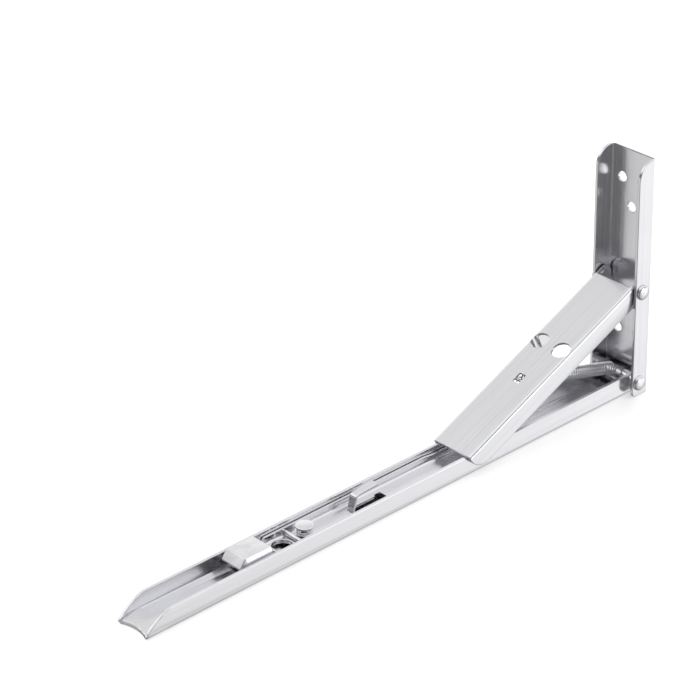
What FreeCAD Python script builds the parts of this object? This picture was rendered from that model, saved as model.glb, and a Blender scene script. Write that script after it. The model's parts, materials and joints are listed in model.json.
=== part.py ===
import FreeCAD, Part
import math
import os
import re
import Sketcher

# Folding shelf bracket, 300 mm class, pressed from 1.5 mm stainless sheet.
#
# Frame: x = 0 is the wall plate's back face and the arm runs along -X. z = 0 is the arm's
# outer face, the one a shelf is screwed to. y = 0 is the middle plane, and -Y is the near side.
# The bracket stands open: arm flat on the ground, wall plate upright, brace locked between them.

# Driving sizes in millimetres. Each is written once, here, and becomes a spreadsheet cell.
SIZES = {
    # Sheet and bends shared by the plate, the arm and the brace
    "sheet_wall": 1.5,
    "bend_radius": 2.0,
    # Pivots: distance from the plate's back, and heights
    "pivot_setback": 7.1,
    "arm_pivot_height": 6.7,
    "brace_pivot_height": 54.0,
    "pivot_shaft": 5.0,
    "pivot_play": 0.08,
    "rivet_head": 7.2,
    "rivet_rim": 0.7,
    "rivet_crown": 5.2,
    "rivet_crown_height": 1.6,
    "peened_lip": 0.5,
    "peened_height": 0.35,
    # Wall plate
    "plate_side_gap": 0.4,
    "plate_top": 118.8,
    "plate_depth": 11.4,
    "plate_crown_radius": 8.5,
    "plate_toe_radius": 3.0,
    # Shelf arm
    "arm_reach": 300.0,
    "arm_width": 18.6,
    "arm_height": 10.2,
    "arm_heel_radius": 5.2,
    "arm_tip_slope": 14.0,
    "arm_tip_bulge": 40.0,
    "arm_tip_scoop": 2.5,
    # Brace, measured along its web from the brace pivot
    "brace_side_gap": 0.8,
    "brace_depth": 10.4,
    "brace_reach": 117.3,
    "brace_web_start": 3.3,
    "brace_toe_radius": 8.8,
    "access_from_pivot": 48.3,
    "access_from_side": 5.1,
    "access_hole": 8.8,
    # Notch in the arm's lips that the brace's web edge drops into
    "notch_depth": 0.6,
    "notch_floor": 2.2,
    "notch_ramp": 1.8,
    "seat_gap": 0.1,
    "notch_gap": 0.25,
    # Screw holes in the wall plate and the arm
    "screw_hole": 5.0,
    "plate_screw_spread": 12.0,
    "plate_screw_from_top": 14.8,
    "plate_screw_drop": 13.4,
    "plate_screw_low": 27.0,
    "arm_screw_back": 50.0,
    # Sleeve and spacers on the arm pivot
    "sleeve_outer": 7.0,
    "spacer_outer": 7.6,
    "end_float": 0.1,
    # Assist spring between the arm pivot and the brace
    "spring_outer": 6.2,
    "spring_wire": 1.0,
    "spring_loop_gap": 0.1,
    "spring_hook_gap": 0.15,
    "spring_rise": 3.4,
    "spring_start": 5.4,
    "spring_neck": 1.6,
    "slot_from_pivot": 70.4,
    "slot_length": 5.2,
    "slot_width": 3.8,
    "hook_bar": 1.2,
    # Release lever inside the arm
    "lever_wall": 1.2,
    "lever_bend": 3.0,
    "lever_side_gap": 0.35,
    "lever_floor": 3.3,
    "lever_side_top": 8.0,
    "lever_nose": 240.8,
    "lever_side_start": 223.0,
    "lever_tail": 104.0,
    "lever_tail_top": 7.4,
    "lever_taper_start": 127.0,
    "lever_taper_end": 122.0,
    "reach_hole_from_wall": 217.3,
    "reach_hole": 9.4,
    "reach_rim": 0.9,
    "reach_rim_height": 0.7,
    # Hook that holds the folded brace, and the window it is pressed out of
    "hook_from_wall": 176.6,
    "hook_width": 3.8,
    "hook_lean": 1.9,
    "hook_top": 12.9,
    "hook_tip_rise": 0.9,
    "hook_reach": 13.6,
    "hook_bend": 2.2,
    "window_end": 157.2,
    "window_width": 4.6,
    "window_head": 3.6,
    "window_head_width": 7.0,
    # Fulcrum pin
    "fulcrum_from_wall": 210.0,
    "fulcrum_pin": 2.4,
    # Lever rivet and its small spring
    "stud_from_wall": 204.4,
    "stud_stem": 3.2,
    "stud_head": 8.4,
    "stud_head_height": 1.1,
    "stud_head_top": 10.2,
    "stud_swing_room": 1.0,
    "return_spring_outer": 7.2,
    "return_spring_wire": 0.9,
    "return_spring_turns": 1.8,
    "return_spring_gap": 0.3,
    # Press pad and the rivet that holds it
    "pad_length": 18.4,
    "pad_overhang": 5.4,
    "pad_side_gap": 0.45,
    "pad_top": 12.6,
    "pad_skirt": 8.2,
    "pad_skirt_height": 0.4,
    "pad_front_bevel": 3.2,
    "pad_side_bevel": 1.0,
    "pad_back_bevel": 1.0,
    "pad_corner_length": 4.2,
    "pad_corner_width": 1.0,
    "pad_corner_taper": 0.1,
    "pad_wall": 1.2,
    "pad_boss": 6.0,
    "pad_rivet_stem": 2.6,
    "pad_rivet_head": 5.2,
    "pad_rivet_head_height": 0.6,
    "pad_rivet_length": 5.0,
}

# The channels nest: the brace straddles the arm, the plate straddles the brace, the lever lies
# inside the arm and the pad sits within the lever's width.
BRACE_WIDTH = "(arm_width + 2 * sheet_wall + 2 * brace_side_gap)"
PLATE_WIDTH = "(%s + 2 * sheet_wall + 2 * plate_side_gap)" % BRACE_WIDTH
LEVER_WIDTH = "(arm_width - 2 * sheet_wall - 2 * lever_side_gap)"
PAD_WIDTH = "(%s - 2 * pad_side_gap)" % LEVER_WIDTH

# Room left around a cut so that its tool reaches past the sheet on every side.
MARGIN = "2"

# Sides of the section that stands for round spring wire, its corners on the wire's circle.
COIL_SIDES = 6
LOOP_SIDES = 4

document = FreeCAD.newDocument("folding_shelf_bracket")
sheet = document.addObject("Spreadsheet::Sheet", "size")
for row, (alias, length) in enumerate(SIZES.items(), start=1):
    sheet.set("A%d" % row, alias)
    sheet.set("B%d" % row, str(length))
    sheet.setAlias("B%d" % row, alias)
document.recompute()

NODES = []


def cells(formula):
    """Point each size named in a formula at its spreadsheet cell."""
    return re.sub(r"[a-z][a-z_]*", lambda word: "size." + word[0] if word[0] in SIZES else word[0], formula)


def bind(item, **formulas):
    """Tie properties of a document object to formulas of the sizes."""
    for name, formula in formulas.items():
        item.setExpression(name, cells(formula))


def place(item, x="0", y="0", z="0"):
    """Tie an object's position to formulas of the sizes."""
    for axis, formula in (("x", x), ("y", y), ("z", z)):
        item.setExpression("Placement.Base." + axis, cells(formula))


def node(item):
    """Enter a finished piece in the list of named sub-parts."""
    item.Label = item.Name
    NODES.append(item)
    return item


# Sketch helpers


def body_sketch(body, name, plane, offset=None):
    """Lay a sketch on one of a body's own origin planes, shifted along its normal."""
    sketch = body.newObject("Sketcher::SketchObject", name)
    support = [face for face in body.Origin.OriginFeatures if face.Role == plane][0]
    sketch.AttachmentSupport = [(support, "")]
    sketch.MapMode = "FlatFace"
    if offset:
        sketch.setExpression("AttachmentOffset.Base.z", cells(offset))
        document.recompute()
    return sketch


def measure(item, formula):
    """Read a formula of the sizes as a number of millimetres."""
    result = item.evalExpression(cells(formula))
    return float(getattr(result, "Value", result))


def fix_point(sketch, geometry, end, x, y):
    """Hold one point of a sketch at formulas of the sizes."""
    for kind, formula in (("DistanceX", x), ("DistanceY", y)):
        held = Sketcher.Constraint(kind, -1, 1, geometry, end, measure(sketch, formula))
        index = sketch.addConstraint(held)
        sketch.setExpression("Constraints[%d]" % index, cells(formula))


def draw_outline(sketch, corners):
    """Close an outline through its corners.

    A corner is (x, y), or (x, y, radius, side) where an arc leads on to the next corner. Side is
    1 for an arc that bulges to the right of the way the outline runs, and -1 to the left.
    """
    points = [FreeCAD.Vector(measure(sketch, c[0]), measure(sketch, c[1]), 0) for c in corners]
    ends = []
    for index, corner in enumerate(corners):
        start = points[index]
        stop = points[(index + 1) % len(points)]
        if len(corner) == 2:
            edge = sketch.addGeometry(Part.LineSegment(start, stop), False)
            ends.append((edge, 1, 2))
            continue
        radius = measure(sketch, corner[2])
        chord = stop - start
        sagitta = radius - math.sqrt(radius**2 - (chord.Length / 2) ** 2)
        outward = FreeCAD.Vector(chord.y, -chord.x, 0).normalize() * (corner[3] * sagitta)
        edge = sketch.addGeometry(Part.Arc(start, (start + stop) / 2 + outward, stop), False)
        one_end = sketch.getPoint(edge, 1)
        other_end = sketch.getPoint(edge, 2)
        forward = one_end.distanceToPoint(start) < other_end.distanceToPoint(start)
        ends.append((edge, 1, 2) if forward else (edge, 2, 1))
        bend = sketch.addConstraint(Sketcher.Constraint("Radius", edge, radius))
        sketch.setExpression("Constraints[%d]" % bend, cells(corner[2]))
    for index, (edge, first, last) in enumerate(ends):
        following, following_first, _ = ends[(index + 1) % len(ends)]
        sketch.addConstraint(Sketcher.Constraint("Coincident", edge, last, following, following_first))
        fix_point(sketch, edge, first, corners[index][0], corners[index][1])


def draw_circle(sketch, x, y, diameter):
    """Add a circle at formulas of the sizes."""
    centre = FreeCAD.Vector(measure(sketch, x), measure(sketch, y), 0)
    circle = Part.Circle(centre, FreeCAD.Vector(0, 0, 1), measure(sketch, diameter) / 2)
    edge = sketch.addGeometry(circle, False)
    fix_point(sketch, edge, 3, x, y)
    held = sketch.addConstraint(Sketcher.Constraint("Diameter", edge, measure(sketch, diameter)))
    sketch.setExpression("Constraints[%d]" % held, cells(diameter))


# Feature helpers


def pad(body, name, sketch, length, midplane=False, backwards=False):
    """Raise a sketch into a solid."""
    feature = body.newObject("PartDesign::Pad", name)
    feature.Profile = sketch
    feature.Midplane = midplane
    feature.Reversed = backwards
    feature.setExpression("Length", cells(length))
    document.recompute()
    return feature


def cut(body, name, sketch, length):
    """Cut a sketch out of a body, the same depth on both sides of its plane."""
    before = body.Shape.Volume
    feature = body.newObject("PartDesign::Pocket", name)
    feature.Profile = sketch
    feature.Midplane = True
    feature.setExpression("Length", cells(length))
    document.recompute()
    if not feature.Shape.Volume < before:
        raise RuntimeError(name + " cuts nothing")
    return feature


def cut_outline(body, name, plane, corners, length, offset=None):
    """Cut an outline out of a body."""
    sketch = body_sketch(body, name + "_sketch", plane, offset)
    draw_outline(sketch, corners)
    return cut(body, name, sketch, length)


def cut_circles(body, name, plane, circles, length, offset=None):
    """Cut round holes, each an x, a y and a diameter, out of a body."""
    sketch = body_sketch(body, name + "_sketch", plane, offset)
    for x, y, diameter in circles:
        draw_circle(sketch, x, y, diameter)
    return cut(body, name, sketch, length)


def channel_corners(width, depth, wall, bend, turn, side=1):
    """Return the section of a bent channel.

    turn maps (across, up) to the sketch's own directions, up being measured from the outer face
    of the web to the flanges' lips. side is -1 where turn mirrors the section.
    """
    half = "(%s) / 2" % width
    inner = "(%s - %s)" % (bend, wall)
    return [
        turn("-%s" % half, depth),
        turn("-%s" % half, bend) + (bend, side),
        turn("-%s + %s" % (half, bend), "0"),
        turn("%s - %s" % (half, bend), "0") + (bend, side),
        turn(half, bend),
        turn(half, depth),
        turn("%s - %s" % (half, wall), depth),
        turn("%s - %s" % (half, wall), bend) + (inner, -side),
        turn("%s - %s" % (half, bend), wall),
        turn("-%s + %s" % (half, bend), wall) + (inner, -side),
        turn("-%s + %s" % (half, wall), bend),
        turn("-%s + %s" % (half, wall), depth),
    ]


def revolved(name, half_section):
    """Turn a half section, given as (radius, height) corners, about its own Z axis."""
    body = document.addObject("PartDesign::Body", name)
    sketch = body_sketch(body, name + "_section", "XZ_Plane")
    draw_outline(sketch, half_section)
    feature = body.newObject("PartDesign::Revolution", name + "_turned")
    feature.Profile = sketch
    feature.ReferenceAxis = (sketch, ["V_Axis"])
    feature.Angle = 360
    document.recompute()
    return body


def lay_across(body):
    """Turn a revolved body's own Z axis to point along -Y."""
    body.Placement = FreeCAD.Placement(FreeCAD.Vector(), FreeCAD.Rotation(FreeCAD.Vector(1, 0, 0), 90))


# Wall plate: an upright channel with its flanges towards the arm


def make_wall_plate():
    body = document.addObject("PartDesign::Body", "wall_plate")
    section = body_sketch(body, "plate_section", "XY_Plane")
    corners = channel_corners(
        PLATE_WIDTH, "plate_depth", "sheet_wall", "bend_radius", lambda across, up: ("-(%s)" % up, across), -1
    )
    draw_outline(section, corners)
    pad(body, "plate_channel", section, "plate_top")
    over = PLATE_WIDTH + " + " + MARGIN
    cut_outline(
        body,
        "plate_crown",
        "XZ_Plane",
        [
            ("-plate_depth", "plate_top - plate_crown_radius", "plate_crown_radius", -1),
            ("-plate_depth + plate_crown_radius", "plate_top"),
            ("-plate_depth + plate_crown_radius", "plate_top + " + MARGIN),
            ("-plate_depth - " + MARGIN, "plate_top + " + MARGIN),
            ("-plate_depth - " + MARGIN, "plate_top - plate_crown_radius"),
        ],
        over,
    )
    cut_outline(
        body,
        "plate_toe",
        "XZ_Plane",
        [
            ("-plate_depth", "plate_toe_radius", "plate_toe_radius", 1),
            ("-plate_depth + plate_toe_radius", "0"),
            ("-plate_depth + plate_toe_radius", "-" + MARGIN),
            ("-plate_depth - " + MARGIN, "-" + MARGIN),
            ("-plate_depth - " + MARGIN, "plate_toe_radius"),
        ],
        over,
    )
    spread = "plate_screw_spread / 2"
    high = "plate_top - plate_screw_from_top"
    cut_circles(
        body,
        "plate_screw_holes",
        "YZ_Plane",
        [
            ("-" + spread, high, "screw_hole"),
            (spread, high, "screw_hole"),
            ("0", high + " - plate_screw_drop", "screw_hole"),
            ("-" + spread, "plate_screw_low", "screw_hole"),
            (spread, "plate_screw_low", "screw_hole"),
        ],
        "2 * sheet_wall + " + MARGIN,
    )
    cut_circles(
        body,
        "plate_rivet_holes",
        "XZ_Plane",
        [
            ("-pivot_setback", "arm_pivot_height", "pivot_shaft"),
            ("-pivot_setback", "brace_pivot_height", "pivot_shaft"),
        ],
        over,
    )
    return node(body)


# Shelf arm: a long channel, open towards the brace


def make_shelf_arm():
    body = document.addObject("PartDesign::Body", "shelf_arm")
    heel = "(arm_heel_radius - pivot_setback)"
    section = body_sketch(body, "arm_section", "YZ_Plane", heel)
    corners = channel_corners(
        "arm_width", "arm_height", "sheet_wall", "bend_radius", lambda across, up: (across, up)
    )
    draw_outline(section, corners)
    pad(body, "arm_channel", section, "arm_reach + " + heel, backwards=True)
    over = "arm_width + " + MARGIN
    lip = "(arm_height - arm_pivot_height)"
    cut_outline(
        body,
        "arm_heel",
        "XZ_Plane",
        [
            (heel, "arm_pivot_height", "arm_heel_radius", 1),
            ("sqrt(arm_heel_radius ^ 2 - %s ^ 2) - pivot_setback" % lip, "arm_height"),
            ("sqrt(arm_heel_radius ^ 2 - %s ^ 2) - pivot_setback" % lip, "arm_height + " + MARGIN),
            (heel + " + " + MARGIN, "arm_height + " + MARGIN),
            (heel + " + " + MARGIN, "arm_pivot_height"),
        ],
        over,
    )
    cut_outline(
        body,
        "arm_tip",
        "XZ_Plane",
        [
            ("-arm_reach + arm_tip_slope", "arm_height", "arm_tip_bulge", -1),
            ("-arm_reach", "sheet_wall"),
            ("-arm_reach - " + MARGIN, "sheet_wall"),
            ("-arm_reach - " + MARGIN, "arm_height + " + MARGIN),
            ("-arm_reach + arm_tip_slope", "arm_height + " + MARGIN),
        ],
        over,
    )
    scoop_radius = "((arm_width / 2) ^ 2 + arm_tip_scoop ^ 2) / (2 * arm_tip_scoop)"
    cut_outline(
        body,
        "arm_tip_scoop_cut",
        "XY_Plane",
        [
            ("-arm_reach", "-arm_width / 2", scoop_radius, 1),
            ("-arm_reach", "arm_width / 2"),
            ("-arm_reach - " + MARGIN, "arm_width / 2"),
            ("-arm_reach - " + MARGIN, "-arm_width / 2"),
        ],
        "2 * sheet_wall + " + MARGIN,
    )
    cut_outline(body, "brace_notch", "XZ_Plane", notch_corners(), over)
    cut_circles(
        body,
        "arm_rivet_hole",
        "XZ_Plane",
        [("-pivot_setback", "arm_pivot_height", "pivot_shaft + 2 * pivot_play")],
        over,
    )
    cut_circles(
        body,
        "arm_web_holes",
        "XY_Plane",
        [
            ("-arm_screw_back", "0", "screw_hole"),
            ("-reach_hole_from_wall", "0", "screw_hole"),
            ("-stud_from_wall", "0", "stud_stem"),
        ],
        "2 * sheet_wall + " + MARGIN,
    )
    return node(body)


# The open brace leans at the angle that lays the inner edge of its web in the notch.
BRACE_OFFSET = "(brace_depth / 2 - sheet_wall)"
NOTCH_FLOOR = "(arm_height - notch_depth)"
BRACE_ANGLE = (
    "(asin((brace_pivot_height - %s - seat_gap) / sqrt(brace_reach ^ 2 + %s ^ 2)) + atan(%s / brace_reach))"
    % (NOTCH_FLOOR, BRACE_OFFSET, BRACE_OFFSET)
)


def brace_point(along, out):
    """Return the x and z of a point of the open brace, from its distances along and out of it."""
    x = "-pivot_setback - (%s) * cos(%s) - (%s) * sin(%s)" % (along, BRACE_ANGLE, out, BRACE_ANGLE)
    z = "brace_pivot_height - (%s) * sin(%s) + (%s) * cos(%s)" % (along, BRACE_ANGLE, out, BRACE_ANGLE)
    return x, z


def notch_corners():
    """Return the notch: a square wall on the free end's side and a ramp towards the plate."""
    outer_edge = brace_point("brace_reach", "brace_depth / 2")[0]
    wall = "(%s - notch_gap)" % outer_edge
    return [
        (wall, "arm_height + " + MARGIN),
        (wall, NOTCH_FLOOR),
        (wall + " + notch_floor", NOTCH_FLOOR),
        (wall + " + notch_floor + notch_ramp", "arm_height"),
        (wall + " + notch_floor + notch_ramp", "arm_height + " + MARGIN),
    ]


# Brace: a channel with its web outwards, modelled lying flat and then leaned into place


def make_brace():
    body = document.addObject("PartDesign::Body", "brace")
    round_end = "(brace_depth / 2)"
    section = body_sketch(body, "brace_section", "YZ_Plane", round_end)
    corners = channel_corners(
        BRACE_WIDTH,
        "brace_depth",
        "sheet_wall",
        "bend_radius",
        lambda across, up: (across, "%s - (%s)" % (round_end, up)),
        -1,
    )
    draw_outline(section, corners)
    pad(body, "brace_channel", section, "brace_reach + " + round_end, backwards=True)
    over = BRACE_WIDTH + " + " + MARGIN
    past = round_end + " + " + MARGIN
    for name, sign, bulge in (("brace_upper_round", "", -1), ("brace_lower_round", "-", 1)):
        cut_outline(
            body,
            name,
            "XZ_Plane",
            [
                ("0", sign + round_end, round_end, bulge),
                (round_end, "0"),
                (past, "0"),
                (past, "%s(%s)" % (sign, past)),
                ("0", "%s(%s)" % (sign, past)),
            ],
            over,
        )
    cut_outline(
        body,
        "brace_toe",
        "XZ_Plane",
        [
            ("-brace_reach", "brace_toe_radius - %s" % round_end, "brace_toe_radius", 1),
            ("-brace_reach + brace_toe_radius", "-%s" % round_end),
            ("-brace_reach + brace_toe_radius", "-%s - %s" % (round_end, MARGIN)),
            ("-brace_reach - " + MARGIN, "-%s - %s" % (round_end, MARGIN)),
            ("-brace_reach - " + MARGIN, "brace_toe_radius - %s" % round_end),
        ],
        over,
    )
    inside = "(%s / 2 - sheet_wall)" % BRACE_WIDTH
    cut_outline(
        body,
        "brace_web_start_cut",
        "XY_Plane",
        [
            ("-brace_web_start", "-" + inside),
            (past, "-" + inside),
            (past, inside),
            ("-brace_web_start", inside),
        ],
        "brace_depth + " + MARGIN,
    )
    cut_circles(
        body,
        "brace_rivet_hole",
        "XZ_Plane",
        [("0", "0", "pivot_shaft + 2 * pivot_play")],
        over,
    )
    access_middle = "(%s / 2 - access_from_side)" % BRACE_WIDTH
    cut_circles(
        body,
        "brace_access_holes",
        "XY_Plane",
        [
            ("-access_from_pivot", "-" + access_middle, "access_hole"),
            ("-access_from_pivot", access_middle, "access_hole"),
        ],
        "brace_depth + " + MARGIN,
    )
    cut_outline(
        body,
        "spring_slot",
        "XY_Plane",
        [
            ("-slot_from_pivot - slot_length / 2", "-slot_width / 2"),
            ("-slot_from_pivot + slot_length / 2", "-slot_width / 2"),
            ("-slot_from_pivot + slot_length / 2", "slot_width / 2"),
            ("-slot_from_pivot - slot_length / 2", "slot_width / 2"),
        ],
        "brace_depth + " + MARGIN,
    )
    bar = body_sketch(body, "hook_bar_sketch", "XZ_Plane")
    draw_outline(
        bar,
        [
            ("-slot_from_pivot - hook_bar / 2", BRACE_OFFSET + " - hook_bar"),
            ("-slot_from_pivot + hook_bar / 2", BRACE_OFFSET + " - hook_bar"),
            ("-slot_from_pivot + hook_bar / 2", BRACE_OFFSET),
            ("-slot_from_pivot - hook_bar / 2", BRACE_OFFSET),
        ],
    )
    pad(body, "hook_bar_pad", bar, "slot_width + " + MARGIN, midplane=True)
    body.Placement = FreeCAD.Placement(FreeCAD.Vector(), FreeCAD.Rotation(FreeCAD.Vector(0, -1, 0), 1))
    place(body, x="-pivot_setback", z="brace_pivot_height")
    body.setExpression("Placement.Rotation.Angle", cells(BRACE_ANGLE))
    return node(body)


# Rivets, sleeve and spacers


def head_corners(seat, sign):
    """Return a rivet head's half section from its seat outwards; sign is - for the far end."""
    steps = [
        ("rivet_head / 2", "0"),
        ("rivet_head / 2", "rivet_rim"),
        ("rivet_crown / 2", "rivet_crown_height"),
        ("0", "rivet_crown_height"),
    ]
    return [(radius, "%s(%s + %s)" % (sign, seat, rise)) for radius, rise in steps]


def make_arm_pivot():
    half = "(%s / 2)" % PLATE_WIDTH
    radius = "pivot_shaft / 2"
    rivet = revolved(
        "arm_pivot_rivet",
        [
            *head_corners(half, "-")[::-1],
            (radius, "-" + half),
            (radius, half),
            *head_corners(half, ""),
        ],
    )
    lay_across(rivet)
    place(rivet, x="-pivot_setback", z="arm_pivot_height")
    node(rivet)
    bore = "pivot_shaft / 2 + end_float"
    sleeve_half = "(arm_width / 2 - sheet_wall - end_float)"
    sleeve = revolved(
        "arm_pivot_sleeve",
        [
            (bore, "-" + sleeve_half),
            ("sleeve_outer / 2", "-" + sleeve_half),
            ("sleeve_outer / 2", sleeve_half),
            (bore, sleeve_half),
        ],
    )
    lay_across(sleeve)
    place(sleeve, x="-pivot_setback", z="arm_pivot_height")
    node(sleeve)
    spacer_inner = "(arm_width / 2 + end_float)"
    spacer_outer = "(%s / 2 - sheet_wall)" % PLATE_WIDTH
    for name, sign in (("arm_spacer_near", ""), ("arm_spacer_far", "-")):
        spacer = revolved(
            name,
            [
                (bore, sign + spacer_inner),
                ("spacer_outer / 2", sign + spacer_inner),
                ("spacer_outer / 2", sign + spacer_outer),
                (bore, sign + spacer_outer),
            ],
        )
        lay_across(spacer)
        place(spacer, x="-pivot_setback", z="arm_pivot_height")
        node(spacer)


def make_brace_rivets():
    """Two short rivets leave the middle free for the folded arm; their inner ends are peened thin."""
    outside = "(%s / 2)" % PLATE_WIDTH
    inside = "(%s / 2 - sheet_wall)" % BRACE_WIDTH
    radius = "pivot_shaft / 2"
    for name, turn in (("brace_rivet_near", 90), ("brace_rivet_far", -90)):
        rivet = revolved(
            name,
            [
                ("0", "%s - end_float - peened_height" % inside),
                ("pivot_shaft / 2 + peened_lip", "%s - end_float - peened_height" % inside),
                ("pivot_shaft / 2 + peened_lip", "%s - end_float" % inside),
                (radius, "%s - end_float" % inside),
                (radius, outside),
                *head_corners(outside, ""),
            ],
        )
        rivet.Placement = FreeCAD.Placement(FreeCAD.Vector(), FreeCAD.Rotation(FreeCAD.Vector(1, 0, 0), turn))
        place(rivet, x="-pivot_setback", z="brace_pivot_height")
        node(rivet)


# Release lever


def make_release_lever():
    body = document.addObject("PartDesign::Body", "release_lever")
    section = body_sketch(body, "lever_section", "YZ_Plane", "-lever_tail")
    depth = "(lever_side_top - lever_floor)"
    corners = channel_corners(
        LEVER_WIDTH, depth, "lever_wall", "lever_bend", lambda across, up: (across, "lever_floor + " + up)
    )
    draw_outline(section, corners)
    pad(body, "lever_channel", section, "lever_nose - lever_tail", backwards=True)
    over = LEVER_WIDTH + " + " + MARGIN
    top = "lever_side_top + " + MARGIN
    floor_top = "(lever_floor + lever_wall)"
    cut_outline(
        body,
        "lever_nose_cut",
        "XZ_Plane",
        [
            ("-lever_nose - " + MARGIN, floor_top),
            ("-lever_side_start - lever_wall", floor_top),
            ("-lever_side_start + lever_wall", "lever_side_top"),
            ("-lever_side_start + lever_wall", top),
            ("-lever_nose - " + MARGIN, top),
        ],
        over,
    )
    cut_outline(
        body,
        "lever_tail_cut",
        "XZ_Plane",
        [
            ("-lever_taper_start", "lever_side_top"),
            ("-lever_taper_end", "lever_tail_top"),
            ("-lever_tail + " + MARGIN, "lever_tail_top"),
            ("-lever_tail + " + MARGIN, top),
            ("-lever_taper_start", top),
        ],
        over,
    )
    rim = body_sketch(body, "reach_rim_sketch", "XY_Plane", floor_top)
    draw_circle(rim, "-reach_hole_from_wall", "0", "reach_hole + 2 * reach_rim")
    pad(body, "reach_rim_pad", rim, "reach_rim_height")
    through = "2 * lever_side_top"
    cut_circles(
        body,
        "lever_floor_holes",
        "XY_Plane",
        [
            ("-reach_hole_from_wall", "0", "reach_hole"),
            ("-stud_from_wall", "0", "stud_stem + 2 * stud_swing_room"),
            (PAD_MIDDLE, "0", "pad_rivet_stem"),
        ],
        through,
    )
    cut_circles(
        body,
        "lever_fulcrum_holes",
        "XZ_Plane",
        [("-fulcrum_from_wall", FULCRUM_HEIGHT, "fulcrum_pin + 2 * pivot_play")],
        over,
    )
    hook_face = "(-hook_from_wall)"
    hook_root = "(-hook_from_wall - hook_lean)"
    cut_outline(
        body,
        "hook_window",
        "XY_Plane",
        [
            (hook_root + " + lever_wall", "-window_width / 2"),
            ("-window_end - window_head", "-window_width / 2"),
            ("-window_end - window_head", "-window_head_width / 2"),
            ("-window_end", "-window_head_width / 2"),
            ("-window_end", "window_head_width / 2"),
            ("-window_end - window_head", "window_head_width / 2"),
            ("-window_end - window_head", "window_width / 2"),
            (hook_root + " + lever_wall", "window_width / 2"),
        ],
        through,
    )
    hook = body_sketch(body, "hook_sketch", "XZ_Plane")
    inner_bend = "(hook_bend - lever_wall)"
    draw_outline(
        hook,
        [
            (hook_root, "lever_floor"),
            (hook_root + " + lever_wall", "lever_floor"),
            (hook_face + " + lever_wall", "hook_top - hook_bend", inner_bend, -1),
            (hook_face + " + hook_bend", "hook_top - lever_wall"),
            (hook_face + " + hook_reach", "hook_top - lever_wall + hook_tip_rise"),
            (hook_face + " + hook_reach", "hook_top + hook_tip_rise"),
            (hook_face + " + hook_bend", "hook_top", "hook_bend", 1),
            (hook_face, "hook_top - hook_bend"),
        ],
    )
    pad(body, "hook_pad", hook, "hook_width", midplane=True)
    return node(body)


PAD_FRONT = "(-lever_nose - pad_overhang)"
PAD_MIDDLE = "(%s + pad_length / 2)" % PAD_FRONT
FULCRUM_HEIGHT = "(lever_floor + lever_wall + end_float + fulcrum_pin / 2)"


def pad_ring(front, back, half, share):
    """Return the pad's outline at one height, its two front corners cut by a share of their size."""
    length = "pad_corner_length * " + share
    width = "pad_corner_width * " + share
    return [
        ("%s + %s" % (front, length), "-" + half),
        (back, "-" + half),
        (back, half),
        ("%s + %s" % (front, length), half),
        (front, "%s - %s" % (half, width)),
        (front, "-%s + %s" % (half, width)),
    ]


def make_press_pad():
    """A bevelled cap: hollow below, with a boss that stands on the lever's floor."""
    back = "(%s + pad_length)" % PAD_FRONT
    half = "(%s / 2)" % PAD_WIDTH
    body = document.addObject("PartDesign::Body", "press_pad")
    lower = body_sketch(body, "pad_lower", "XY_Plane", "pad_skirt")
    draw_outline(lower, pad_ring(PAD_FRONT, back, half, "1"))
    pad(body, "pad_skirt_pad", lower, "pad_skirt_height")
    foot = body_sketch(body, "pad_bevel_foot", "XY_Plane", "pad_skirt + pad_skirt_height")
    draw_outline(foot, pad_ring(PAD_FRONT, back, half, "1"))
    head = body_sketch(body, "pad_bevel_head", "XY_Plane", "pad_top")
    head_front = PAD_FRONT + " + pad_front_bevel"
    head_back = back + " - pad_back_bevel"
    head_half = "(%s - pad_side_bevel)" % half
    draw_outline(head, pad_ring(head_front, head_back, head_half, "pad_corner_taper"))
    loft = body.newObject("PartDesign::AdditiveLoft", "pad_bevels")
    loft.Profile = foot
    loft.Sections = [head]
    loft.Ruled = True
    document.recompute()
    hollow = body_sketch(body, "pad_hollow_sketch", "XY_Plane", "pad_skirt")
    inner = "(%s - pad_wall)" % head_half
    draw_outline(
        hollow,
        [
            (head_front + " + pad_wall", "-" + inner),
            (head_back + " - pad_wall", "-" + inner),
            (head_back + " - pad_wall", inner),
            (head_front + " + pad_wall", inner),
        ],
    )
    cut(body, "pad_hollow", hollow, "2 * (pad_top - pad_skirt - pad_wall)")
    boss = body_sketch(body, "pad_boss_sketch", "XY_Plane", "lever_floor + lever_wall")
    draw_circle(boss, PAD_MIDDLE, "0", "pad_boss")
    pad(body, "pad_boss_pad", boss, "pad_top - pad_wall / 2 - lever_floor - lever_wall")
    cut_circles(
        body,
        "pad_rivet_bore",
        "XY_Plane",
        [(PAD_MIDDLE, "0", "pad_rivet_stem")],
        "2 * (pad_rivet_length - lever_wall)",
        "lever_floor + lever_wall",
    )
    node(body)
    stem = "(pad_rivet_stem / 2)"
    rivet = revolved(
        "pad_rivet",
        [
            ("0", "-pad_rivet_head_height"),
            ("pad_rivet_head / 2", "-pad_rivet_head_height"),
            ("pad_rivet_head / 2", "0"),
            (stem, "0"),
            (stem, "pad_rivet_length - end_float"),
            ("0", "pad_rivet_length - end_float"),
        ],
    )
    place(rivet, x=PAD_MIDDLE, z="lever_floor")
    node(rivet)


def make_fulcrum_pin():
    pin = document.addObject("Part::Cylinder", "fulcrum_pin")
    bind(pin, Radius="fulcrum_pin / 2", Height="arm_width - 2 * sheet_wall")
    pin.Placement = FreeCAD.Placement(FreeCAD.Vector(), FreeCAD.Rotation(FreeCAD.Vector(1, 0, 0), 90))
    place(pin, x="-fulcrum_from_wall", y="arm_width / 2 - sheet_wall", z=FULCRUM_HEIGHT)
    node(pin)


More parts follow.
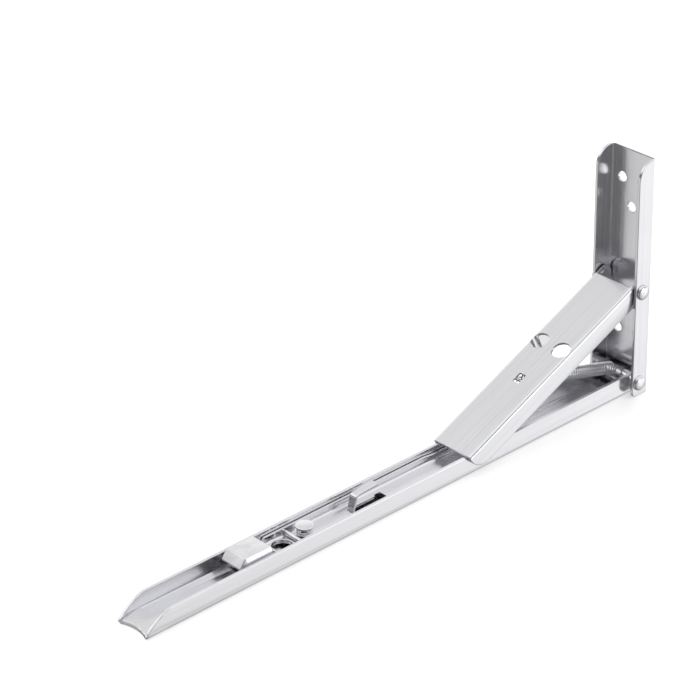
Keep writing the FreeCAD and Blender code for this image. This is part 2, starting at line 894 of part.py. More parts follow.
def make_lever_rivet():
    stem = "(stud_stem / 2)"
    head = "(stud_head / 2)"
    rivet = revolved(
        "lever_rivet",
        [
            ("0", "end_float"),
            (stem, "end_float"),
            (stem, "stud_head_top - stud_head_height"),
            (head, "stud_head_top - stud_head_height"),
            (head, "stud_head_top - stud_head_height / 3"),
            (head + " - stud_head_height / 3", "stud_head_top"),
            ("0", "stud_head_top"),
        ],
    )
    place(rivet, x="-stud_from_wall")
    node(rivet)


def make_return_spring():
    """A short open coil between the lever's floor and the stud's head."""
    low = "(lever_floor + lever_wall + return_spring_gap + return_spring_wire / 2)"
    high = "(stud_head_top - stud_head_height - return_spring_gap - return_spring_wire / 2)"
    path = document.addObject("Part::Helix", "return_spring_path")
    bind(
        path,
        Radius="(return_spring_outer - return_spring_wire) / 2",
        Pitch="(%s - %s) / return_spring_turns" % (high, low),
        Height="%s - %s" % (high, low),
    )
    wire = document.addObject("Part::RegularPolygon", "return_spring_wire_section")
    wire.Polygon = COIL_SIDES
    bind(wire, Circumradius="return_spring_wire / 2")
    wire.Placement = FreeCAD.Placement(FreeCAD.Vector(), FreeCAD.Rotation(FreeCAD.Vector(1, 0, 0), 90))
    place(wire, x="(return_spring_outer - return_spring_wire) / 2")
    spring = document.addObject("Part::Sweep", "lever_spring")
    spring.Sections = [wire]
    spring.Spine = (path, ["Edge1"])
    spring.Solid = True
    spring.Frenet = True
    place(spring, x="-stud_from_wall", z=low)
    node(spring)


# Assist spring: a close-wound coil, whose turns touch and so form a tube, with a ring at each end


def number(name):
    """Read one size in millimetres from its cell."""
    return float(getattr(sheet.get(name), "Value", sheet.get(name)))


def ring_of_wire(centre, mean_radius, wire):
    """Return one closed turn of wire in the middle plane."""
    corners = []
    for step in range(LOOP_SIDES + 1):
        turn = 2 * math.pi * (step + 0.5) / LOOP_SIDES
        out = mean_radius + wire / 2 * math.cos(turn)
        corners.append(centre + FreeCAD.Vector(out, wire / 2 * math.sin(turn), 0))
    return Part.Face(Part.makePolygon(corners)).revolve(centre, FreeCAD.Vector(0, 1, 0), 360)


def make_assist_spring():
    wire = number("spring_wire")
    outer = number("spring_outer") / 2
    rise = number("spring_rise")
    neck = number("spring_neck")
    pivot = FreeCAD.Vector(-number("pivot_setback"), 0, number("arm_pivot_height"))
    loop_radius = number("sleeve_outer") / 2 + number("spring_loop_gap") + wire / 2
    hook_radius = number("hook_bar") / 2 * math.sqrt(2) + number("spring_hook_gap") + wire / 2
    hook_x, hook_z = brace_point("slot_from_pivot", BRACE_OFFSET + " - hook_bar / 2")
    hook = FreeCAD.Vector(measure(NODES[0], hook_x), 0, measure(NODES[0], hook_z))
    # The coil's axis starts at the hook bar and passes the arm pivot at the height of its rise.
    reach = pivot - hook
    lean = math.degrees(math.asin(rise / reach.Length))
    line = FreeCAD.Rotation(FreeCAD.Vector(0, -1, 0), lean).multVec(reach).normalize()
    upward = FreeCAD.Vector(-line.z, 0, line.x)
    start = hook + line * (hook_radius + neck)
    stop = pivot + upward * rise - line * number("spring_start")
    length = start.distanceToPoint(stop)
    bore = Part.makeCylinder(outer - wire, length - 2 * wire, start + line * wire, line)
    coil = Part.makeCylinder(outer, length, start, line).cut(bore)
    loop_neck = number("spring_start") + wire / 2
    coil = coil.fuse([
        Part.makeCylinder(wire / 2, neck + wire / 2, hook + line * hook_radius, line),
        Part.makeCylinder(wire / 2, loop_neck, pivot + upward * loop_radius, line * -1),
        ring_of_wire(pivot, loop_radius, wire),
        ring_of_wire(hook, hook_radius, wire),
    ])
    spring = document.addObject("Part::Feature", "assist_spring")
    spring.Shape = coil
    node(spring)


make_wall_plate()
make_shelf_arm()
make_brace()
make_arm_pivot()
make_brace_rivets()
make_release_lever()
make_press_pad()
make_fulcrum_pin()
make_lever_rivet()
make_return_spring()
make_assist_spring()
document.recompute()

for item in document.Objects:
    if "Invalid" in item.State or "Error" in item.State:
        raise RuntimeError("%s did not build: %s" % (item.Name, item.State))
for item in NODES:
    if item.Shape.isNull() or not item.Shape.isValid():
        raise RuntimeError(item.Name + " has no sound shape")

os.makedirs("parts", exist_ok=True)
for item in NODES:
    item.Shape.exportStep("parts/%s.step" % item.Label)
    print("%-20s %d solid %9.1f mm3" % (item.Label, len(item.Shape.Solids), item.Shape.Volume))
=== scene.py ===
import json
import logging
import math
from dataclasses import dataclass
from enum import Enum

import bmesh
import bpy
from bmesh.types import BMEdge, BMesh, BMVert
from bpy.types import Material, Node, NodeSocket, NodeTree, Object
from mathutils import Matrix, Vector
from mathutils.bvhtree import BVHTree


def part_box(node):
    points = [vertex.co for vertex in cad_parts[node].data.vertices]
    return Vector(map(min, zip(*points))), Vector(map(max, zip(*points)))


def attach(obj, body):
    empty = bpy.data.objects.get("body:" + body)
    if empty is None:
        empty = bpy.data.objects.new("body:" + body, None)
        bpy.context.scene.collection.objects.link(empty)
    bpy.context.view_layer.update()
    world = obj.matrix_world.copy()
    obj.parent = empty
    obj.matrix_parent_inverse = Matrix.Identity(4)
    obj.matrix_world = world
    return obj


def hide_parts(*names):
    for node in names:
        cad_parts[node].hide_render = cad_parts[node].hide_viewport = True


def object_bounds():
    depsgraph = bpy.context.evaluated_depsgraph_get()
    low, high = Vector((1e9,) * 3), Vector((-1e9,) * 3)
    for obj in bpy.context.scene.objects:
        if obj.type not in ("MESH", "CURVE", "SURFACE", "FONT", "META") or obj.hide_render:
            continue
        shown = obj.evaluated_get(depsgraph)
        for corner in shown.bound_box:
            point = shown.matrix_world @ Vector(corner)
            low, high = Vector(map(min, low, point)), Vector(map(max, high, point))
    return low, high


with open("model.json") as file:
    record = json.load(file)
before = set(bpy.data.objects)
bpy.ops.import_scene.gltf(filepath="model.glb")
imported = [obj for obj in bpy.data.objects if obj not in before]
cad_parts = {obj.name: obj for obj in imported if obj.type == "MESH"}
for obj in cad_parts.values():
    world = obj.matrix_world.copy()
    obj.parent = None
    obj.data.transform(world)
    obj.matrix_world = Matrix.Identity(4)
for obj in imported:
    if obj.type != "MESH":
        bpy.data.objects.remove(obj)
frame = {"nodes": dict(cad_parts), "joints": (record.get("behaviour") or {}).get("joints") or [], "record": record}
CAD_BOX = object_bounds()

# Looks of the folding shelf bracket: the sheets get rounded cut edges and a brushed finish, the
# rivets their domed heads and the two springs their wire. Lengths are in metres, in the bracket's
# own frame: the arm runs along -X, the shelf face lies at z = 0 and -Y is the near side.

MM = 0.001
X_AXIS = Vector((1.0, 0.0, 0.0))
Y_AXIS = Vector((0.0, 1.0, 0.0))
Z_AXIS = Vector((0.0, 0.0, 1.0))
FULL_TURN = 2 * math.pi
HALF_TURN = math.pi
QUARTER_TURN = math.pi / 2
# Corners nearer than this are one corner.
TOUCHING = 0.001 * MM
# Faces around a turned piece.
LATHE_STEPS = 48

Levels = tuple[tuple[float, float], ...]
Triple = tuple[float, float, float]

logger = logging.getLogger("folding_shelf_bracket")


def joint_place(name: str) -> Vector:
    """Return the point that a joint turns about.

    Args:
        name: the joint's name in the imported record.

    Returns:
        The point, in metres.
    """
    found = next(joint for joint in frame["joints"] if joint["name"] == name)
    return Vector(found["pos_m"])


def coupling_ratio(name: str) -> float:
    """Return how far a coupled joint turns for each degree of the joint that it follows.

    Args:
        name: the coupled joint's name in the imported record.

    Returns:
        The ratio of the two turns.
    """
    rows = frame["record"]["behaviour"]["couplings"]
    return next(row["ratio"] for row in rows if row["joint"] == name)


ARM_PIVOT = joint_place("arm_fold")
BRACE_PIVOT = joint_place("brace_swing")
# Folding turns the brace past the arm's quarter turn by the angle at which it leans when open.
BRACE_LEAN = (coupling_ratio("brace_swing") - 1) * QUARTER_TURN


class Slot(Enum):
    """The record's material slots."""

    BRUSHED = "brushed_stainless"
    POLISHED = "polished_steel"
    SPRING = "spring_steel"


class Body(Enum):
    """The bodies that pieces ride on."""

    PLATE = "plate"
    ARM = "arm"
    BRACE = "strut"
    SPRING = "coil"
    LEVER = "lever"


# Materials


class Recipe:
    """Adds and joins the nodes of one metal."""

    def __init__(self, name: str) -> None:
        """Start a metal with a bare principled shader.

        Args:
            name: the material's name.
        """
        self.material = bpy.data.materials.new(name)
        self.material.use_nodes = True
        self.tree = self.material.node_tree
        self.shader = self.tree.nodes["Principled BSDF"]
        self.place = self.tree.nodes.new("ShaderNodeTexCoord").outputs["Object"]

    def add(self, kind: str, **settings: object) -> Node:
        """Add a node and set its properties.

        Args:
            kind: the node's type.
            **settings: its properties, or numbers for sockets of those names.

        Returns:
            The node.
        """
        node = self.tree.nodes.new(kind)
        for key, value in settings.items():
            if key in node.inputs:
                node.inputs[key].default_value = value
            else:
                setattr(node, key, value)
        return node

    def join(self, source: NodeSocket, target: NodeSocket) -> None:
        """Lead one socket into another."""
        self.tree.links.new(source, target)

    def noise(self, grain: Triple, lean: float, detail: float, roughness: float) -> NodeSocket:
        """Add a noise whose cells have a size along each axis.

        Args:
            grain: size of a cell along each axis, in metres.
            lean: turn of the cells about Y, in radians.
            detail: octaves of the noise.
            roughness: weight of the finer octaves.

        Returns:
            The noise's value, from 0 to 1.
        """
        laid = self.add("ShaderNodeMapping", vector_type="TEXTURE")
        laid.inputs["Scale"].default_value = grain
        laid.inputs["Rotation"].default_value = (0.0, lean, 0.0)
        self.join(self.place, laid.inputs["Vector"])
        noise = self.add("ShaderNodeTexNoise", Scale=1.0, Detail=detail, Roughness=roughness)
        self.join(laid.outputs["Vector"], noise.inputs["Vector"])
        return noise.outputs["Fac"]

    def spread(self, value: NodeSocket, low: float, high: float) -> NodeSocket:
        """Stretch the middle of a noise over a range.

        Args:
            value: the noise.
            low: result where the noise is weak.
            high: result where the noise is strong.

        Returns:
            The stretched value.
        """
        node = self.add("ShaderNodeMapRange")
        ends = {"From Min": 0.3, "From Max": 0.7, "To Min": low, "To Max": high}
        for key, number in ends.items():
            node.inputs[key].default_value = number
        self.join(value, node.inputs["Value"])
        return node.outputs["Result"]

    def colour(self, value: NodeSocket, dark: Triple, light: Triple) -> NodeSocket:
        """Turn a value from 0 to 1 into a colour between two.

        Args:
            value: the share of the light colour.
            dark: colour at 0.
            light: colour at 1.

        Returns:
            The colour.
        """
        mix = self.add("ShaderNodeMix", data_type="RGBA")
        mix.inputs["A"].default_value = (*dark, 1.0)
        mix.inputs["B"].default_value = (*light, 1.0)
        self.join(value, mix.inputs["Factor"])
        return mix.outputs["Result"]

    def sum(self, first: NodeSocket, second: NodeSocket, share: float) -> NodeSocket:
        """Add a share of the second value to the first.

        Args:
            first: the first value.
            second: the second value.
            share: the share of the second value.

        Returns:
            The sum.
        """
        node = self.add("ShaderNodeMath", operation="MULTIPLY_ADD")
        node.inputs[1].default_value = share
        self.join(second, node.inputs[0])
        self.join(first, node.inputs[2])
        return node.outputs["Value"]

    def brush(self, along: Triple, smear: float) -> None:
        """Smear reflections across the grain.

        Args:
            along: the grain's direction.
            smear: how much wider they get, from 0 to 1.
        """
        facing = self.add("ShaderNodeNewGeometry").outputs["Normal"]
        across = self.add("ShaderNodeVectorMath", operation="CROSS_PRODUCT")
        across.inputs[1].default_value = along
        self.join(facing, across.inputs[0])
        self.join(across.outputs["Vector"], self.shader.inputs["Tangent"])
        self.shader.inputs["Anisotropic"].default_value = smear

    def relief(self, value: NodeSocket, strength: float, depth: float) -> None:
        """Raise and lower the surface's shading with a value.

        Args:
            value: height, from 0 to 1.
            strength: share of the effect.
            depth: height of the relief in metres.
        """
        bump = self.add("ShaderNodeBump", Strength=strength, Distance=depth)
        self.join(value, bump.inputs["Height"])
        self.join(bump.outputs["Normal"], self.shader.inputs["Normal"])


@dataclass(frozen=True)
class BrushedSheet:
    """Cold rolled stainless sheet, brushed lengthwise before it was pressed.

    Attributes:
        name: the material's name.
        grain: size of the brush marks along each axis.
        lean: turn of the marks about Y.
        dark: the sheet's darker tone.
        light: its lighter tone.
        low_gloss: roughness where it is brightest.
        high_gloss: roughness where it is dullest.
        cloud_gloss: how much the roughness drifts over the sheet.
        along: direction of the grain.
        smear: how much wider reflections get across the grain.
        cloud: size of the drifting patches.
        streak_scale: size of the wide streaks in brush marks.
        streak_tone: share of the streaks in the tone.
        streak_height: share of the streaks in the relief.
        relief: strength of the relief.
        depth: height of the relief.
    """

    name: str
    grain: Triple
    lean: float = 0.0
    dark: Triple = (0.74, 0.74, 0.765)
    light: Triple = (0.83, 0.83, 0.855)
    low_gloss: float = 0.15
    high_gloss: float = 0.25
    cloud_gloss: float = 0.03
    along: Triple = (1.0, 0.0, 0.0)
    smear: float = 0.75
    cloud: float = 26.0 * MM
    streak_scale: float = 4.0
    streak_tone: float = 0.4
    streak_height: float = 0.5
    relief: float = 0.14
    depth: float = 0.012 * MM

    def material(self) -> Material:
        """Return the finish as a material.

        Returns:
            The material.
        """
        recipe = Recipe(self.name)
        shader = recipe.shader
        shader.inputs["Metallic"].default_value = 1.0
        wide = tuple(size * self.streak_scale for size in self.grain)
        fine = recipe.noise(self.grain, self.lean, 3.0, 0.6)
        cloud = recipe.noise((self.cloud,) * 3, self.lean, 2.0, 0.5)
        streak = recipe.noise(wide, self.lean, 2.0, 0.5)
        lines = recipe.spread(fine, 0.0, 1.0 - self.streak_tone)
        tone = recipe.sum(lines, recipe.spread(streak, 0.0, 1.0), self.streak_tone)
        recipe.join(recipe.colour(tone, self.dark, self.light), shader.inputs["Base Color"])
        gloss = recipe.spread(fine, self.low_gloss, self.high_gloss)
        gloss = recipe.sum(gloss, recipe.spread(cloud, -1.0, 1.0), self.cloud_gloss)
        recipe.join(gloss, shader.inputs["Roughness"])
        height = recipe.sum(fine, streak, self.streak_height)
        recipe.relief(height, self.relief, self.depth)
        recipe.brush(self.along, self.smear)
        return recipe.material


@dataclass(frozen=True)
class PolishedSteel:
    """Turned or pressed steel with a nearly bright polish and faint handling marks.

    Attributes:
        name: the material's name.
        dark: the steel's darker tone.
        light: its lighter tone.
        low_gloss: roughness where it is brightest.
        high_gloss: roughness where it is dullest.
        cloud: size of the patches of tone.
        mark: size of the handling marks.
        relief: strength of the relief.
        depth: height of the relief.
    """

    name: str
    dark: Triple = (0.74, 0.74, 0.77)
    light: Triple = (0.88, 0.88, 0.90)
    low_gloss: float = 0.09
    high_gloss: float = 0.20
    cloud: float = 6.0 * MM
    mark: float = 1.4 * MM
    relief: float = 0.2
    depth: float = 0.01 * MM

    def material(self) -> Material:
        """Return the finish as a material.

        Returns:
            The material.
        """
        recipe = Recipe(self.name)
        shader = recipe.shader
        shader.inputs["Metallic"].default_value = 1.0
        cloud = recipe.noise((self.cloud,) * 3, 0.0, 3.0, 0.6)
        marks = recipe.noise((self.mark,) * 3, 0.0, 2.0, 0.6)
        tone = recipe.spread(cloud, 0.0, 1.0)
        recipe.join(recipe.colour(tone, self.dark, self.light), shader.inputs["Base Color"])
        gloss = recipe.spread(marks, self.low_gloss, self.high_gloss)
        recipe.join(gloss, shader.inputs["Roughness"])
        recipe.relief(marks, self.relief, self.depth)
        return recipe.material


# Mesh tools


def shade(piece: Object, crease: float) -> None:
    """Shade a mesh smooth, apart from edges that turn by more than an angle.

    Args:
        piece: the mesh object.
        crease: the angle, in radians.
    """
    piece.data.shade_smooth()
    piece.data.set_sharp_from_angle(angle=crease)


def finish_mesh(
    mesh: BMesh, name: str, material: Material, crease: float = math.radians(40)
) -> Object:
    """Make an object of a finished mesh, at the origin.

    Args:
        mesh: the mesh, which is freed.
        name: the object's name.
        material: its finish.
        crease: angle of the edges that stay sharp, in radians.

    Returns:
        The object.
    """
    data = bpy.data.meshes.new(name)
    mesh.to_mesh(data)
    mesh.free()
    data.materials.append(material)
    piece = bpy.data.objects.new(name, data)
    bpy.context.scene.collection.objects.link(piece)
    shade(piece, crease)
    return piece


def level_flats(piece: Object) -> None:
    """Keep flat faces flat in the shading beside their rounded edges."""
    flats = piece.modifiers.new("flats", "WEIGHTED_NORMAL")
    flats.keep_sharp = True


def lathe(profile: list[tuple[float, float]], place: Vector, axis: Vector) -> BMesh:
    """Turn a profile about an axis.

    Args:
        profile: (radius, height) corners, from one end on the axis to the other.
        place: point of the axis at height 0.
        axis: the axis' direction.

    Returns:
        The turned form.
    """
    mesh = bmesh.new()
    lay = Z_AXIS.rotation_difference(axis).to_matrix()
    out = lay @ X_AXIS
    chain = [mesh.verts.new(place + out * radius + axis * height) for radius, height in profile]
    edges = [mesh.edges.new(pair) for pair in zip(chain, chain[1:])]
    bmesh.ops.spin(
        mesh,
        geom=chain + edges,
        cent=place,
        axis=axis,
        angle=FULL_TURN,
        steps=LATHE_STEPS,
        use_merge=True,
    )
    bmesh.ops.remove_doubles(mesh, verts=mesh.verts, dist=TOUCHING)
    bmesh.ops.recalc_face_normals(mesh, faces=mesh.faces)
    return mesh


class WireBender:
    """Bends one length of round wire, bend after bend."""

    sides: int = 12

    def __init__(self, wire: float) -> None:
        """Start with no wire.

        Args:
            wire: the wire's diameter.
        """
        self.mesh = bmesh.new()
        self.radius = wire / 2
        self.end: list[BMVert | BMEdge] = []
        self.point = Vector()
        self.heading = Vector()

    def begin(self, point: Vector, heading: Vector) -> None:
        """Cut the wire's first end.

        Args:
            point: the middle of the cut.
            heading: the way in which the wire leads on.
        """
        lay = Matrix.Translation(point) @ Z_AXIS.rotation_difference(heading).to_matrix().to_4x4()
        ring = bmesh.ops.create_circle(
            self.mesh, segments=self.sides, radius=self.radius, matrix=lay
        )["verts"]
        self.end = [*ring, *self.mesh.edges]
        self.point = point.copy()
        self.heading = heading.copy()
        self.close()

    def bend(
        self, centre: Vector, axis: Vector, angle: float, steps: int, advance: float = 0.0
    ) -> None:
        """Turn the wire about an axis.

        Args:
            centre: a point of the axis.
            axis: the axis' direction, right-handed.
            angle: the turn in radians.
            steps: faces along the bend.
            advance: how far the wire moves along the axis over the whole bend.
        """
        made = bmesh.ops.spin(
            self.mesh,
            geom=self.end,
            cent=centre,
            axis=axis,
            dvec=axis * (advance / steps),
            angle=angle,
            steps=steps,
            use_merge=False,
        )
        self.end = [item for item in made["geom_last"] if isinstance(item, (BMVert, BMEdge))]
        turn = Matrix.Rotation(angle, 3, axis)
        self.point = centre + turn @ (self.point - centre) + axis * advance
        self.heading = turn @ self.heading

    def run(self, length: float) -> None:
        """Lead the wire straight on.

        Args:
            length: how far.
        """
        edges = [item for item in self.end if isinstance(item, BMEdge)]
        made = bmesh.ops.extrude_edge_only(self.mesh, edges=edges)["geom"]
        verts = [item for item in made if isinstance(item, BMVert)]
        bmesh.ops.translate(self.mesh, verts=verts, vec=self.heading * length)
        ring = set(verts)
        edges = [item for item in made if isinstance(item, BMEdge) and set(item.verts) <= ring]
        self.end = verts + edges
        self.point = self.point + self.heading * length

    def close(self) -> None:
        """Close the wire's present end with a flat face."""
        edges = [item for item in self.end if isinstance(item, BMEdge)]
        bmesh.ops.edgenet_fill(self.mesh, edges=edges)

    def piece(self, name: str, material: Material) -> Object:
        """Close the wire and return it as an object.

        Args:
            name: the object's name.
            material: its finish.

        Returns:
            The object.
        """
        self.close()
        bmesh.ops.recalc_face_normals(self.mesh, faces=self.mesh.faces)
        return finish_mesh(self.mesh, name, material, math.radians(60))


def mount_piece(piece: Object, body: Body, slot: Slot, *nodes: str) -> Object:
    """Fix a piece to its body and hide the nodes that it stands for.

    Args:
        piece: the piece.
        body: the body that it moves with.
        slot: the record's material slot; not used.
        *nodes: the nodes that it replaces.

    Returns:
        The piece.
    """
    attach(piece, body.value)
    if nodes:
        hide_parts(*nodes)
    logger.info("%s: %d faces, rides on %s", piece.name, len(piece.data.polygons), body.value)
    return piece


# Pieces


@dataclass
class SheetPiece:
    """A pressed piece with its cut edges rounded off.

    Attributes:
        node: the CAD node that it dresses.
        body: the body that it moves with.
        slot: the record's material slot for the piece.
        edge: width of the rounding.
        crease: turn from which an edge is rounded.
        narrow: edges with a face corner under this angle beside them are left sharp.
        merge: corners of the node's loose triangles nearer than this are one corner.
        flat: faces that turn by less than this become one face.
    """

    node: str
    body: Body
    slot: Slot = Slot.BRUSHED
    edge: float = 0.3 * MM
    crease: float = math.radians(32)
    narrow: float = math.radians(35)
    merge: float = 0.002 * MM
    flat: float = math.radians(0.4)

    def reshape(self, mesh: BMesh) -> None:
        """Leave the form as it is."""

    def stands_clear(self, edge: BMEdge, creased: set[BMEdge]) -> bool:
        """Tell whether an edge can be rounded without its faces folding over.

        Args:
            edge: the edge.
            creased: the edges that are to be rounded.

        Returns:
            True if no other edge runs close along it from either end.
        """
        for vert in edge.verts:
            along = edge.other_vert(vert).co - vert.co
            for other in vert.link_edges:
                beside = other.other_vert(vert).co - vert.co
                if other not in creased and along.angle(beside) < self.narrow:
                    return False
        return True

    def build(self, material: Material) -> Object:
        """Copy the node's form, round its edges and dress it.

        Args:
            material: its finish.

        Returns:
            The piece.
        """
        mesh = bmesh.new()
        mesh.from_mesh(frame["nodes"][self.node].data)
        bmesh.ops.remove_doubles(mesh, verts=mesh.verts, dist=self.merge)
        self.reshape(mesh)
        bmesh.ops.dissolve_limit(
            mesh, angle_limit=self.flat, verts=mesh.verts, edges=mesh.edges
        )
        creased = {edge for edge in mesh.edges if edge.calc_face_angle() > self.crease}
        rounded = [
            edge for edge in mesh.edges if edge in creased and self.stands_clear(edge, creased)
        ]
        skin = BVHTree.FromBMesh(mesh)
        bmesh.ops.bevel(
            mesh,
            geom=rounded,
            offset=self.edge,
            offset_type="OFFSET",
            segments=2,
            profile=0.5,
            affect="EDGES",
            clamp_overlap=False,
            material=-1,
        )
        # Where a rounding has no room, its corners go back to the sheet's surface.
        for vert in mesh.verts:
            near, _, _, gap = skin.find_nearest(vert.co)
            if gap > self.edge / 2:
                vert.co = near
        many_sided = [face for face in mesh.faces if len(face.verts) > 4]
        bmesh.ops.triangulate(mesh, faces=many_sided)
        piece = finish_mesh(mesh, self.node + "_dressed", material)
        level_flats(piece)
        return mount_piece(piece, self.body, self.slot, self.node)


@dataclass
class ArmSheet(SheetPiece):
    """The shelf arm, whose flanges run out to the tip in an outward curve.

    Attributes:
        slope: length of the flanges' curved ends.
        wall: the sheet's thickness, where the curve starts.
        height: height at which the curve ends.
        swell: how far the curve stands out from its chord.
        cuts: steps of the curve.
    """

    slope: float = 14.0 * MM
    wall: float = 1.5 * MM
    height: float = 10.2 * MM
    swell: float = 2.05 * MM
    cuts: int = 12

    def reshape(self, mesh: BMesh) -> None:
        """Curve the ends of the flanges outwards.

        Args:
            mesh: the arm's copy.
        """
        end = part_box(self.node)[0].x
        foot = Vector((end, 0.0, self.wall))
        chord = Vector((end + self.slope, 0.0, self.height)) - foot
        outward = Vector((-chord.z, 0.0, chord.x)).normalized()
        for index in range(1, self.cuts):
            place = X_AXIS * (end + self.slope * index / self.cuts)
            parts = [*mesh.verts, *mesh.edges, *mesh.faces]
            bmesh.ops.bisect_plane(
                mesh, geom=parts, dist=TOUCHING, plane_co=place, plane_no=X_AXIS
            )
        for vert in mesh.verts:
            share = (vert.co - foot).dot(chord) / chord.length_squared
            if 0 < share < 1 and vert.co.x < end + self.slope and vert.co.z > self.wall:
                # A parabola over the chord, whose height is 1 in the middle.
                vert.co += outward * (self.swell * 4 * share * (1 - share))


@dataclass
class Channels:
    """The three nested channels: wall plate, shelf arm and brace.

    Attributes:
        grain_length: length of a brush mark.
        grain_width: its width.
    """

    grain_length: float = 60.0 * MM
    grain_width: float = 0.35 * MM

    def build(self) -> None:
        """Dress the channels, each with its grain along its length."""
        length, width = self.grain_length, self.grain_width
        upright = BrushedSheet("brushed_plate", (width, width, length), along=tuple(Z_AXIS))
        level = BrushedSheet("brushed_arm", (length, width, width))
        slope = (math.cos(BRACE_LEAN), 0.0, math.sin(BRACE_LEAN))
        leaning = BrushedSheet("brushed_brace", (length, width, width), -BRACE_LEAN, along=slope)
        SheetPiece("wall_plate", Body.PLATE).build(upright.material())
        ArmSheet("shelf_arm", Body.ARM).build(level.material())
        SheetPiece("brace", Body.BRACE).build(leaning.material())


@dataclass
class Rivets:
    """The domed rivets at the two pivots, with the sleeve and spacers on the lower one.

    Attributes:
        head: diameter of a head.
        rim: height from which the dome rises.
        edge: height of the head's upright edge.
        crown: height of a head.
        fullness: power of the dome's curve, under 1 for a flatter top.
        shaft: diameter of a shaft.
        peened_lip: how far the peened end stands out from the shaft.
        peened: thickness of the peened end.
        peened_edge: bevel of the peened end.
        dome_steps: steps of the dome.
    """

    head: float = 7.2 * MM
    rim: float = 0.55 * MM
    edge: float = 0.385 * MM
    crown: float = 1.65 * MM
    fullness: float = 0.8
    shaft: float = 5.0 * MM
    peened_lip: float = 0.5 * MM
    peened: float = 0.35 * MM
    peened_edge: float = 0.1 * MM
    dome_steps: int = 10

    def head_profile(self, seat: float) -> list[tuple[float, float]]:
        """Return a domed head's profile, from its seat to its crown.

        Args:
            seat: distance of the seat from the middle plane.

        Returns:
            (radius, height) corners.
        """
        radius = self.head / 2
        rise = self.crown - self.rim
        corners = [(radius, seat), (radius, seat + self.edge)]
        for step in range(1, self.dome_steps + 1):
            turn = QUARTER_TURN * step / self.dome_steps
            width = radius * math.cos(turn) ** self.fullness
            corners.append((width, seat + self.rim + rise * math.sin(turn)))
        corners[-1] = (0.0, seat + self.crown)
        return corners

    def build(self, polish: Material) -> None:
        """Turn the rivets and dress the sleeve and spacers.

        Args:
            polish: their finish.
        """
        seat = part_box("wall_plate")[1].y
        up = self.head_profile(seat)
        shaft = self.shaft / 2
        down = [(radius, -height) for radius, height in reversed(up)]
        turned = lathe([*down, (shaft, -seat), (shaft, seat), *up], ARM_PIVOT, Y_AXIS)
        rivet = finish_mesh(turned, "arm_pivot_rivet_domed", polish)
        mount_piece(rivet, Body.PLATE, Slot.POLISHED, "arm_pivot_rivet")
        lip = shaft + self.peened_lip
        for node, side in (("brace_rivet_near", -1), ("brace_rivet_far", 1)):
            low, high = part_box(node)
            inner = min(abs(low.y), abs(high.y))
            profile = [
                (0.0, inner),
                (lip - self.peened_edge, inner),
                (lip, inner + self.peened_edge),
                (lip, inner + self.peened),
                (shaft, inner + self.peened),
                (shaft, seat),
                *up,
            ]
            turned = lathe(profile, BRACE_PIVOT, Y_AXIS * side)
            rivet = finish_mesh(turned, node + "_domed", polish)
            mount_piece(rivet, Body.PLATE, Slot.POLISHED, node)
        for node in ("arm_pivot_sleeve", "arm_spacer_near", "arm_spacer_far"):
            SheetPiece(node, Body.PLATE, Slot.POLISHED).build(polish)


